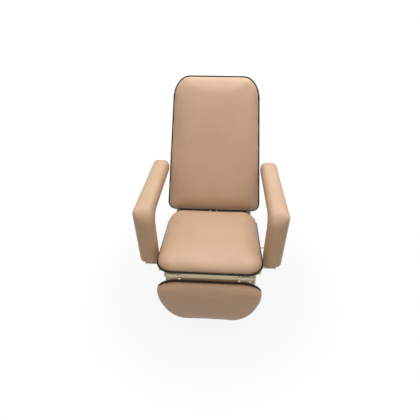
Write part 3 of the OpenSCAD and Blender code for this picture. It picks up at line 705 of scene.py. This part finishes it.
class PadsOperator(bpy.types.Operator):
    """Make the seat, back and legrest cushions, swollen over their foam."""

    bl_idname = "recliner.pads"
    bl_label = "Cushions"

    # Inset and height in millimetres of the cover's rings below its seam
    tuck = ((10, 0.3), (9, 4), (6.5, 7.5))
    # Inset in millimetres of the rings inside the rounded edge, and their share of the crown
    dome = ((25, 0.375), (60, 0.75), (110, 1.0))
    # How far the legrest's foam stands proud of its board at the sides and at the toe
    side_proud = 10 * MM
    toe_proud = 8 * MM
    # Height up to which pleats reach, their pitch and their depth
    pleat_h = 34 * MM
    pleat_pitch = 4.2 * MM
    pleat_depth = 0.9 * MM

    def execute(self, context):
        for pad in pads():
            self.make(pad)
        return {"FINISHED"}

    def make(self, pad):
        """One cushion: a rounded edge round a low crown, with a cover swollen over both."""
        swell_room = 12 * MM
        seam = 9 * MM
        side = 4.8 * MM
        t = pad.t - swell_room
        rings = [pad.ring(inset * MM, height * MM) for inset, height in self.tuck]
        for i in range(10):
            a = math.radians(10 * i)
            inset = side + pad.edge_r * (1 - math.cos(a))
            rings.append(pad.ring(inset, seam + (t - seam) * math.sin(a)))
        for run, share in self.dome:
            rings.append(pad.ring(side + pad.edge_r + run * MM, t + share * pad.crown))
        if pad.name == "legrest":
            rings = [[self.proud(pad, p) for p in ring] for ring in rings]
        piece = cover(pad.name + "_cover", rings)
        swell(
            piece, held=lambda p: p.z < 10 * MM, pressure=1.5, cap=16 * MM, sideways=0.10,
            calm=pad.calm,
        )
        self.pull(piece, pad)
        piece.data.transform(pad.place)
        upholster(piece, pad.body, pad.name + "_cushion")

    def proud(self, pad, point):
        """A point of the legrest's foam, moved out where the foam stands proud of its board."""
        x, y, z = point
        u = y / pad.l
        bulge = self.side_proud * ease(0.02, 0.2, u) * (1 - ease(0.36, 0.6, u))
        side = bulge * 2 * x / pad.widths[0]
        return (x + side, y + self.toe_proud * ease(0.7, 1.0, u), z)

    def pull(self, piece, pad):
        """Faint pleats where the vinyl is drawn over the corners towards the piping."""
        moves = []
        for v in piece.data.vertices:
            x, y, z = v.co
            if not 6 * MM < z < self.pleat_h:
                continue
            fade = (self.pleat_h - z) / self.pleat_h
            end = 0 if y < pad.l / 2 else 1
            corner_w, corner_h = pad.corners[end]
            edge = pad.l - y if end else y
            half = pad.widths[end] / 2
            near = max(0.0, 1 - edge / corner_h) * max(0.0, 1 - (half - abs(x)) / corner_w)
            around = math.atan2(edge - corner_h, abs(x) - half + corner_w)
            wave = math.sin(around * corner_w / self.pleat_pitch) + 0.5 * noise.noise(v.co * 90)
            push = self.pleat_depth * fade * min(1.0, 3 * near) * wave
            moves.append((v.index, v.normal * push))
        for index, move in moves:
            piece.data.vertices[index].co += move


class ArmsOperator(bpy.types.Operator):
    """Make the two inverted-L arm pads, moulded round their steel cores."""

    bl_idname = "recliner.arms"
    bl_label = "Arm pads"

    # Depth of the front post, height of the top bar, and the radii of the side profile
    post_d = 84 * MM
    bar_h = 83 * MM
    toe_r = 34 * MM
    heel_r = 28 * MM
    crook_r = 34 * MM

    def execute(self, context):
        for side, name in ((-1, "left"), (1, "right")):
            self.make(side, "arm_pad_" + name)
        return {"FINISHED"}

    def profile(self, inset, brow_r):
        """Side profile of an arm in Y and Z, drawn in by an inset, with its upper front radius."""
        front, rear = arm_low.y + inset, arm_high.y - inset
        post = arm_low.y + self.post_d - inset
        low, top = arm_low.z + inset, arm_high.z - inset
        under = arm_high.z - self.bar_h + inset
        radii = (self.toe_r, self.heel_r, brow_r)
        toe, heel, brow = (max(r - inset, LEAST_R) for r in radii)
        crook = self.crook_r + inset
        return (
            arc(post - toe, low + toe, toe, toe, 270, 360, 8)
            + arc(post + crook, under - crook, crook, crook, 180, 90, 8)
            + arc(rear - heel, under + heel, heel, heel, 270, 360, 8)
            + arc(rear - heel, top - heel, heel, heel, 0, 90, 8)
            + arc(front + brow, top - brow, brow, brow, 90, 180, 8)
            + arc(front + toe, low + toe, toe, toe, 180, 270, 8)
        )

    def make(self, side, name):
        """One arm: rounded inside, with a crisper brow on its outer face."""
        start = 2.5 * MM
        inner, outer = arm_low.x + start, arm_high.x - start
        rings = []
        # Each face: its X, the way into the arm, the brow's radius and what the edge takes off
        # that radius, both in millimetres, and the radius of the face's edge
        for face, way, brow, crisp, edge_r in (
            (inner, 1, 84, 0, 32 * MM),
            (outer, -1, 62, 50, 24 * MM),
        ):
            for i in range(6, -1, -1) if way > 0 else range(7):
                a = math.radians(15 * i)
                x = face + way * edge_r * (1 - math.sin(a))
                inset = start + edge_r * (1 - math.cos(a))
                outline = self.profile(inset, (brow - crisp * math.sin(a)) * MM)
                rings.append([(x, y, z) for y, z in outline])
        mirror = Matrix.Scale(-1, 4, (1, 0, 0)) if side < 0 else None
        piece = cover(name.replace("pad", "cover"), rings, mirror)
        foot = arm_low.z + 8 * MM
        swell(piece, held=lambda p: p.z < foot, pressure=1.0, cap=3.5 * MM, sideways=1.0, calm=5)
        upholster(piece, "base", name)


class PipingOperator(bpy.types.Operator):
    """Make the black piping round the pads."""

    bl_idname = "recliner.piping"
    bl_label = "Piping"

    def execute(self, context):
        r = sizes().piping_d / 2
        sides = 14
        for pad in pads():
            rings = []
            for i, (p, out) in enumerate(pad.path(r, 6 * MM)):
                bead = r * (1 + 0.03 * noise.noise(Vector((i * 0.35, pad.l, 0))))
                ring = []
                for k in range(sides):
                    a = TAU * k / sides
                    q = p + out * bead * math.cos(a)
                    ring.append((q.x, q.y, r + bead * math.sin(a)))
                rings.append(ring)
            shape = Shape()
            shape.loft(rings, pad.place, looped=True)
            self.join(shape, pad, r)
            node = pad.name + "_piping"
            shape.build(pad.name + "_welt", "piping", pad.body, replaced=(node,))
        return {"FINISHED"}

    def join(self, shape, pad, r):
        """A short sleeve where the ends of the piping meet."""
        y = pad.l - r if pad.name == "seat" else r
        lip, wall, half = 0.8 * r, 1.07 * r, 10 * MM
        steps = [(lip, -half), (wall, 1 * MM - half), (wall, half - 1 * MM), (lip, half)]
        shape.loft(turned(steps, 16), pad.place @ facing((0.02, y, r), (1, 0, 0)))


class CoversOperator(bpy.types.Operator):
    """Make the vinyl covers of the boards behind the pads, stitched round their edge."""

    bl_idname = "recliner.covers"
    bl_label = "Board covers"

    # Inset and depth in millimetres of the cover's rings, drawn for a board of drawn_t
    wrap = (
        (9, 0.0), (6, 0.2), (5.2, 1.2), (5.4, 3.0), (7.5, 6.0),
        (11, 9.6), (14, 11.5), (17, 12.0), (21, 11.8), (30, 11.8),
    )
    drawn_t = 0.012
    # Inset and depth in millimetres of the dust cover's rings under the board
    cloth = ((30, -0.2), (30, 0.5), (31, 0.7), (60, 0.7))
    stitch = mm((0.1, -2.1), (0.45, -1.6), (0.5, 0), (0.45, 1.6), (0.1, 2.1))
    staple = mm((0.2, -5), (0.5, -4.8), (0.5, 4.8), (0.2, 5))

    def execute(self, context):
        board_t = sizes().board_t
        for pad in pads():
            rings = []
            for inset, down in self.wrap:
                rings.append(pad.ring(inset * MM, -down * MM * board_t / self.drawn_t))
            shape = Shape()
            shape.loft(rings, pad.place)
            wood = pad.name + "_board"
            shape.build(pad.name + "_board_cover", "vinyl", pad.body, 50.0, (wood,))
            if pad.name == "seat":
                self.dust_cover(pad, board_t)
            else:
                threads = self.row(pad, 24 * MM, 6.5 * MM, 0.1 * MM - board_t, self.stitch)
                threads.build(pad.name + "_stitches", "vinyl", pad.body)
        return {"FINISHED"}

    def row(self, pad, inset, step, height, profile):
        """A row of stitches or staples that lie along the pad's outline."""
        shape = Shape()
        for p, out in pad.path(inset, step):
            way = Vector((-out.y, out.x, 0))
            shape.loft(turned(profile, 6), pad.place @ facing((p.x, p.y, height), way))
        return shape

    def dust_cover(self, pad, board_t):
        """The black cloth under the seat, held by staples."""
        shape = Shape()
        rings = [pad.ring(inset * MM, -board_t - down * MM) for inset, down in self.cloth]
        shape.loft(rings, pad.place)
        shape.build("seat_dust_cover", "board", pad.body)
        staples = self.row(pad, 35 * MM, 45 * MM, -board_t - 1.0 * MM, self.staple)
        staples.build("seat_staples", "zinc", pad.body)


class FrameOperator(bpy.types.Operator):
    """Finish the steel frame and the other rigid parts that keep their shape."""

    bl_idname = "recliner.frame"
    bl_label = "Frame"

    def execute(self, context):
        for name, node in frame["nodes"].items():
            node.data.materials.clear()
            node.data.materials.append(finish_for(SHOWN_AS.get(name, slot_of[name])))
            weld = node.modifiers.new("weld", "WELD")
            weld.merge_threshold = 0.02 * MM
            soft = node.modifiers.new("soft_edges", "BEVEL")
            soft.width = 1.2 * MM if slot_of[name] == "cream_steel" else 0.5 * MM
            soft.segments = 2
            soft.limit_method = "ANGLE"
            soft.angle_limit = math.radians(40)
        return {"FINISHED"}


class FastenersOperator(bpy.types.Operator):
    """Make the hexagon bolts, the board screws and the hinge pins."""

    bl_idname = "recliner.fasteners"
    bl_label = "Bolts, screws and pins"

    # Profiles as radius and height
    washer = mm((9.0, 0), (9.2, 0.3), (9.2, 1.0), (8.6, 1.4), (5, 1.4))
    bolt_head = mm((7.4, 1.2), (7.5, 1.5), (7.5, 4.2), (6.3, 5.0), (3, 5.2))
    screw_head = mm(
        (6.0, 0), (6.2, 0.7), (5.4, 2.2), (3.6, 3.2), (2.6, 3.4), (2.2, 1.4), (0.6, 1.1)
    )
    # Pins: their node, then the shaft's radius and the head's radius and height in millimetres
    studs = (
        ("back_hinge_pins", 6, 10, 5),
        ("legrest_hinge_pins", 5, 9, 5),
        ("tie_rod_rear_pins", 5, 7.5, 3),
        ("tie_rod_front_pins", 5, 9.5, 3),
        ("gas_spring_crank_pin", 5, 9, 5),
    )

    def execute(self, context):
        self.bolts()
        self.screws()
        self.pins()
        return {"FINISHED"}

    def bolts(self):
        """Hexagon bolts with washers under the rails and the arm brackets."""
        shape = Shape()
        for low, high in islands("frame_bolts"):
            at = middle(low, high)
            at.z = high.z
            place = facing(at, (0, 0, -1))
            shape.loft(turned(self.washer), place)
            shape.loft(turned(self.bolt_head, 36, {k: hexagon for k in range(3)}), place)
        shape.build("hex_bolts", "zinc", "base", 30.0, ("frame_bolts",))

    def screws(self):
        """Cross-recessed screws through the back's tubes into its board."""
        shape = Shape()
        rearward = back_place().to_3x3() @ Vector((0, 1, 0))
        half_head = 1.75 * MM
        for low, high in islands("back_board_screws"):
            place = facing(middle(low, high) - rearward * half_head, rearward)
            shape.loft(turned(self.screw_head, 48, {4: cross, 5: cross}), place)
        shape.build("board_screws", "zinc", "backrest", 30.0, ("back_board_screws",))

    def pins(self):
        """Hinge pins with domed socket heads; the legrest's have their heads inside."""
        for node, shaft_r, head_r, head_h in self.studs:
            shape = Shape()
            for low, high in islands(node):
                outward = 1 if low.x + high.x > 0 else -1
                way = -outward if node == "legrest_hinge_pins" else outward
                at = middle(low, high)
                at.x = low.x if way > 0 else high.x
                steps = self.stud(shaft_r * MM, head_r * MM, head_h * MM, high.x - low.x)
                shape.loft(turned(steps, 36, {8: hexagon, 9: hexagon}), facing(at, (way, 0, 0)))
            name = node.replace("pins", "studs").replace("_pin", "_stud")
            shape.build(name, "zinc", body_of[node], 30.0, (node,))

    def stud(self, r, head_r, h, l):
        """Profile of a pin of length l: a chamfered shaft and a head of height h with a socket."""
        shaft = [(r - 0.8 * MM, 0), (r, 0.8 * MM), (r, l - h)]
        rim = [(head_r - 0.4 * MM, l - h), (head_r, l - h + 0.4 * MM)]
        dome = ((1, 0.45), (0.86, 0.12), (0.62, 0), (0.5, 0), (0.46, 0.55), (0.1, 0.6))
        return shaft + rim + [(head_r * a, l - b * h) for a, b in dome]


class FeetOperator(bpy.types.Operator):
    """Make the ribbed rubber feet under the runners, hollow in the middle."""

    bl_idname = "recliner.feet"
    bl_label = "Feet"

    # Ribs of a foot as shares of its radius and height
    ribs = (
        (0.6, 0), (0.94, 0), (1, 0.08), (1, 0.3), (0.93, 0.36), (0.93, 0.44),
        (0.98, 0.5), (0.96, 0.66), (0.88, 0.72), (0.88, 0.8), (0.9, 0.86), (0.86, 1),
    )

    def execute(self, context):
        shape = Shape()
        hollow = 0.6 * MM
        for low, high in islands("floor_feet"):
            r, h = (high.x - low.x) / 2, high.z - low.z
            at = middle(low, high)
            at.z = low.z
            steps = [(0.2 * r, hollow), (0.55 * r, hollow)]
            steps += [(a * r, b * h) for a, b in self.ribs]
            shape.loft(turned(steps, 40), Matrix.Translation(at))
        shape.build("ribbed_feet", "rubber", "base", 35.0, ("floor_feet",))
        return {"FINISHED"}


class CapsOperator(bpy.types.Operator):
    """Make the caps on the ends of the square tubes."""

    bl_idname = "recliner.caps"
    bl_label = "Tube caps"

    # A tube cap's dome: inset in millimetres and share of the dome's height
    cap_dome = ((0, 0.5), (0.5, 0.8), (1.6, 0.97), (5, 1), (6, 0.85))

    def execute(self, context):
        self.runner_caps()
        self.rail_caps()
        self.back_tube_caps()
        return {"FINISHED"}

    def runner_caps(self):
        """Domed caps in the ends of the runners."""
        shape = Shape()
        dome = 3 * MM
        front_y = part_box("runner_end_caps")[0].y
        for low, high in islands("runner_end_caps"):
            front = abs(low.y - front_y) < 1 * MM
            at = middle(low, high)
            at.y = low.y + dome if front else high.y - dome
            self.cap(shape, facing(at, (0, -1 if front else 1, 0)), dome)
        shape.build("runner_caps", "black_plastic", "base", 35.0, ("runner_end_caps",))

    def rail_caps(self):
        """Painted caps on the front ends of the seat's rails."""
        shape = Shape()
        for name in ("seat_rail_left", "seat_rail_right"):
            low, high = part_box(name)
            at = middle(low, high)
            at.y = low.y
            self.cap(shape, facing(at, (0, -1, 0)), 1.6 * MM)
        shape.build("rail_caps", "cream_steel", "base", 35.0)

    def back_tube_caps(self):
        """Domed caps in the upper ends of the back's side tubes."""
        shape = Shape()
        for name in ("back_side_tube_left", "back_side_tube_right"):
            low, high = back_box(name)
            top = Matrix.Translation((middle(low, high).x, 0, high.z))
            self.cap(shape, back_place() @ top, 2 * MM)
        shape.build("back_tube_caps", "black_plastic", "backrest", 35.0)

    def cap(self, shape, place, dome):
        """A square cap with its rim inside the tube."""
        rim = 2.2
        steps = [(rim, -11 * MM), (rim, 0), (0, 0)]
        steps += [(inset, share * dome) for inset, share in self.cap_dome]
        rings = []
        for inset, z in steps:
            side = TUBE_HALF - inset * MM
            corner = (max(2.5 * MM - inset * MM * 0.3, 1 * MM),) * 2
            square = pad_outline(2 * side, 2 * side, 2 * side, corner, corner, 0, 5)
            rings.append([(x, y - side, z) for x, y in square])
        shape.loft(rings, place)


class ApronLipOperator(bpy.types.Operator):
    """Make the bent lip that carries the apron on down behind the legrest's top edge."""

    bl_idname = "recliner.apron_lip"
    bl_label = "Apron lip"

    # From the upper edge down: Y and Z in millimetres from the apron's lower rear edge
    lip = (
        (-1.0, 12.0), (-1.0, 2.0), (0.5, -2.0), (4.0, -7.5), (6.5, -12.0), (7.5, -17.0),
        (7.8, -30.0),
    )

    def execute(self, context):
        low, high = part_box("seat_apron")
        t = 1.4
        rings = []
        for x, thin in ((-146, 0.5), (-145, 1.0), (145, 1.0), (146, 0.5)):
            bend = [(y - thin * t / 2, z) for y, z in self.lip]
            bend += [(y + thin * t / 2, z) for y, z in reversed(self.lip)]
            rings.append([(x * MM, high.y + (y + t / 2) * MM, low.z + z * MM) for y, z in bend])
        shape = Shape()
        shape.loft(rings)
        shape.build("apron_lip", "cream_steel", "base", 40.0)
        return {"FINISHED"}


class GripOperator(bpy.types.Operator):
    """Make the finger-grooved grip on the release lever."""

    bl_idname = "recliner.grip"
    bl_label = "Lever grip"

    def execute(self, context):
        low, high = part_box("release_grip")
        r, l = (high.y - low.y) / 2, high.x - low.x
        spans = 28
        steps = [(0.5 * r, 0), (0.8 * r, 0.3 * MM)]
        for i in range(spans + 1):
            u = i / spans
            waist = 0.86 + 0.14 * abs(math.cos(3 * math.pi * u))
            steps.append((r * waist, 1.2 * MM + u * (l - 4 * MM)))
        steps += [(0.86 * r, l - 1.2 * MM), (0.55 * r, l - 0.2 * MM), (0.2 * r, l)]
        at = middle(low, high)
        at.x = low.x
        shape = Shape()
        shape.loft(turned(steps, 40), facing(at, (1, 0, 0)))
        shape.build("lever_grip", "black_plastic", "release", 50.0, ("release_grip",))
        return {"FINISHED"}


class CollarOperator(bpy.types.Operator):
    """Make the crimped collar and wiper seal where the rod enters the gas spring's barrel."""

    bl_idname = "recliner.collar"
    bl_label = "Spring collar"

    # Profile as radius and height
    collar = mm(
        (5.4, -3), (9, -3), (11, -1), (14.4, -0.4), (14.5, 5),
        (13.6, 6.5), (13.6, 8), (14.5, 9.5), (14.5, 14), (13.9, 14.4),
    )

    def execute(self, context):
        along = next(Vector(j["axis"]) for j in frame["joints"] if j["name"] == "gas_spring_stroke")
        barrel_start = 102 * MM
        shape = Shape()
        place = facing(hinge_at["gas_spring_tilt"] + along * barrel_start, along)
        shape.loft(turned(self.collar, 40), place)
        shape.build("spring_collar", "black_steel", "gas_barrel", 30.0)
        return {"FINISHED"}


class SleevesOperator(bpy.types.Operator):
    """Make the ribbed rubber sleeves on the back's torsion tube, beside and between the cranks."""

    bl_idname = "recliner.sleeves"
    bl_label = "Tube sleeves"

    def execute(self, context):
        low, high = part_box("back_torsion_tube")
        r = (high.z - low.z) / 2
        inner, outer = islands("gas_spring_crank")[-1]
        shape = Shape()
        for start, end in (
            (-high.x + 8 * MM, -outer.x - 3 * MM),
            (-inner.x + 2 * MM, inner.x - 2 * MM),
            (outer.x + 3 * MM, high.x - 8 * MM),
        ):
            l = end - start
            ribs = round(l / (6 * MM))
            skin, wall, groove, rib = (r + t * MM for t in (0.1, 0.9, 1.1, 1.5))
            steps = [(skin, 0), (wall, 0.4 * MM)]
            for i in range(ribs):
                z = 1 * MM + (l - 2 * MM) * i / ribs
                steps += [(rib, z), (rib, z + 3.6 * MM), (groove, z + 4.2 * MM)]
            steps += [(wall, l - 0.4 * MM), (skin, l)]
            at = middle(low, high)
            at.x = start
            shape.loft(turned(steps), facing(at, (1, 0, 0)))
        shape.build("tube_sleeves", "rubber", "backrest", 40.0)
        return {"FINISHED"}


class WeldsOperator(bpy.types.Operator):
    """Make the weld beads where the tubes of the base and of the back meet."""

    bl_idname = "recliner.welds"
    bl_label = "Welds"

    def execute(self, context):
        shape = Shape()
        inset = 0.5 * MM
        for leg in ("front_leg_left", "front_leg_right", "rear_leg_left", "rear_leg_right"):
            low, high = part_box(leg)
            r = (high.x - low.x) / 2
            at = middle(low, high)
            for z in (low.z + inset, high.z - inset):
                ring = [(at.x + r * math.cos(a), at.y + r * math.sin(a), z) for a in self.turns()]
                self.bead(shape, [Vector(p) for p in ring])
        leg_x = middle(*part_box("front_leg_right")).x
        for tube in ("front_cross_tube", "rear_cross_tube"):
            low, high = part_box(tube)
            r = (high.z - low.z) / 2
            at = middle(low, high)
            for side in (-1, 1):
                saddle = []
                for a in self.turns():
                    y, z = r * math.cos(a), r * math.sin(a)
                    saddle.append(Vector((side * (leg_x - abs(z)), at.y + y, at.z + z)))
                self.bead(shape, saddle)
        for rail in ("seat_front_rail", "seat_middle_rail", "seat_rear_rail"):
            low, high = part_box(rail)
            for x in (low.x, high.x):
                run = self.corner_run((x, low.y, low.z), (x, high.y, high.z))
                self.bead(shape, run, closed=False)
        shape.build("frame_welds", "cream_steel", "base", 60.0)
        back = Shape()
        low, high = back_box("back_top_tube")
        for x in (low.x, high.x):
            run = self.corner_run((x, low.z, -high.y), (x, high.z, -low.y))
            run = [back_place() @ Vector((x, -p.z, p.y)) for p in run]
            self.bead(back, run, closed=False)
        back.build("back_welds", "cream_steel", "backrest", 60.0)
        return {"FINISHED"}

    def corner_run(self, low, high):
        """Points along three sides of a square tube's end: down, under and up again."""
        corners = [(low[1], high[2]), (low[1], low[2]), (high[1], low[2]), (high[1], high[2])]
        count = 24
        run = []
        for a, b in zip(corners, corners[1:]):
            for i in range(count):
                u = i / count
                y, z = (p + (q - p) * u for p, q in zip(a, b))
                run.append(Vector((low[0], y, z)))
        return run

    def turns(self):
        """Angles of one turn round a tube."""
        count = 96
        return [TAU * i / count for i in range(count)]

    def bead(self, shape, path, closed=True):
        """A rippled bead along a path."""
        bead_r = 2.0 * MM
        sides = 8
        rings = []
        last = len(path) - 1
        side = None
        for i, p in enumerate(path):
            ahead = path[(i + 1) % len(path)] if closed else path[min(i + 1, last)]
            behind = path[i - 1] if closed else path[max(i - 1, 0)]
            along = (ahead - behind).normalized()
            side = side - along * side.dot(along) if side else along.orthogonal()
            side.normalize()
            other = along.cross(side)
            r = bead_r * (1 + 0.12 * math.sin(i * TAU / 6))
            ring = []
            for k in range(sides):
                a = TAU * k / sides
                ring.append(p + side * r * math.cos(a) + other * r * math.sin(a))
            rings.append(ring)
        shape.loft(rings, looped=closed)


class StageOperator(bpy.types.Operator):
    """Set up the floor, the soft light and the camera."""

    bl_idname = "recliner.stage"
    bl_label = "Stage"

    # Lamps: name, place, target, side of the square in metres, power in watts and colour
    lamps = (
        ("key", (0.10, 0.08, 3.0), (0.0, -0.05, 0.5), 2.4, 80.0, (0.94, 0.98, 1.0)),
        ("front_fill", (0.4, -2.6, 1.5), (0.0, 0.0, 0.40), 2.0, 15.0, (1.0, 0.88, 0.74)),
        ("rear_top", (0.4, 2.4, 2.7), (0.0, 0.0, 0.6), 2.2, 20.0, (0.94, 0.98, 1.0)),
    )
    # Strength of the light from all round
    around = 0.36
    # The photograph's viewpoint: place in metres, turns in degrees, lens and sensor in millimetres
    camera_at = (0.0514, -1.352, 1.539)
    camera_turn = (-2.82, 36.43, 0.21)
    lens = 25.54
    sensor = 36.0

    def execute(self, context):
        scene = context.scene
        scene.view_settings.view_transform = "Standard"
        self.floor()
        self.world(scene)
        for lamp in self.lamps:
            self.lamp(scene, *lamp)
        self.camera(scene)
        return {"FINISHED"}

    def floor(self):
        """A wide round floor, just under the feet."""
        sides = 64
        rings = turned([(r, -0.2 * MM) for r in (30.0, 9.0, 3.0, 1.0, 0.3)], sides)
        shape = Shape()
        shape.loft(rings, capped=False)
        shape.add(rings[-1], [range(sides)])
        ground = shape.build("studio_floor", None, None)
        ground.data.materials.append(floor_finish("pale_floor", tuple(colours().floor)))

    def world(self, scene):
        """Even pale surroundings, white where the camera or a mirror sees them."""
        scene.world = bpy.data.worlds.new("studio")
        sky = Nodes(scene.world, "Background")
        sky.set(Color=(1, 1, 1, 1), Strength=self.around + (1 - self.around) * sky.seen())

    def lamp(self, scene, name, at, target, side, power, colour):
        """A soft square lamp that shines at a target."""
        data = bpy.data.lights.new(name, "AREA")
        data.shape = "SQUARE"
        data.size = side
        data.energy = power
        data.color = colour
        lamp = bpy.data.objects.new(name, data)
        lamp.matrix_world = facing(at, Vector(at) - Vector(target))
        scene.collection.objects.link(lamp)

    def camera(self, scene):
        """The photograph's viewing angle."""
        yaw, pitch, roll = (math.radians(a) for a in self.camera_turn)
        level = Vector((math.cos(yaw), -math.sin(yaw), 0))
        flat = Vector((math.sin(yaw), math.cos(yaw), 0)) * math.cos(pitch)
        ahead = flat - Vector((0, 0, math.sin(pitch)))
        right = level * math.cos(roll) + level.cross(ahead) * math.sin(roll)
        turn = Matrix((right, right.cross(ahead), -ahead)).transposed().to_4x4()
        data = bpy.data.cameras.new("viewpoint")
        data.lens = self.lens
        data.sensor_width = self.sensor
        camera = bpy.data.objects.new("viewpoint", data)
        camera.matrix_world = Matrix.Translation(self.camera_at) @ turn
        scene.collection.objects.link(camera)
        scene.camera = camera


class ReclinerPanel(bpy.types.Panel):
    """Lists the chair's settings and the steps that dress it."""

    bl_idname = "VIEW3D_PT_recliner"
    bl_label = "Recliner"
    bl_space_type = "VIEW_3D"
    bl_region_type = "UI"
    bl_category = "Recliner"

    def draw(self, context):
        for group in (context.scene.recliner_sizes, context.scene.recliner_colours):
            for key in group.__annotations__:
                self.layout.prop(group, key)
        for step in STEPS:
            self.layout.operator(step.bl_idname)


STEPS = (
    StageOperator,
    FrameOperator,
    PadsOperator,
    ArmsOperator,
    PipingOperator,
    CoversOperator,
    FastenersOperator,
    FeetOperator,
    CapsOperator,
    ApronLipOperator,
    GripOperator,
    CollarOperator,
    SleevesOperator,
    WeldsOperator,
)
CLASSES = (PadSizes, ChairColours, *STEPS, ReclinerPanel)


def register():
    """Adds the steps, the panel and the settings to Blender."""
    for cls in CLASSES:
        bpy.utils.register_class(cls)
    bpy.types.Scene.recliner_sizes = PointerProperty(type=PadSizes)
    bpy.types.Scene.recliner_colours = PointerProperty(type=ChairColours)


def unregister():
    """Takes them away again."""
    del bpy.types.Scene.recliner_colours
    del bpy.types.Scene.recliner_sizes
    for cls in reversed(CLASSES):
        bpy.utils.unregister_class(cls)


def main():
    """Dresses the chair step by step."""
    register()
    for step in STEPS:
        group, call = step.bl_idname.split(".")
        getattr(getattr(bpy.ops, group), call)()


if __name__ == "__main__":
    main()
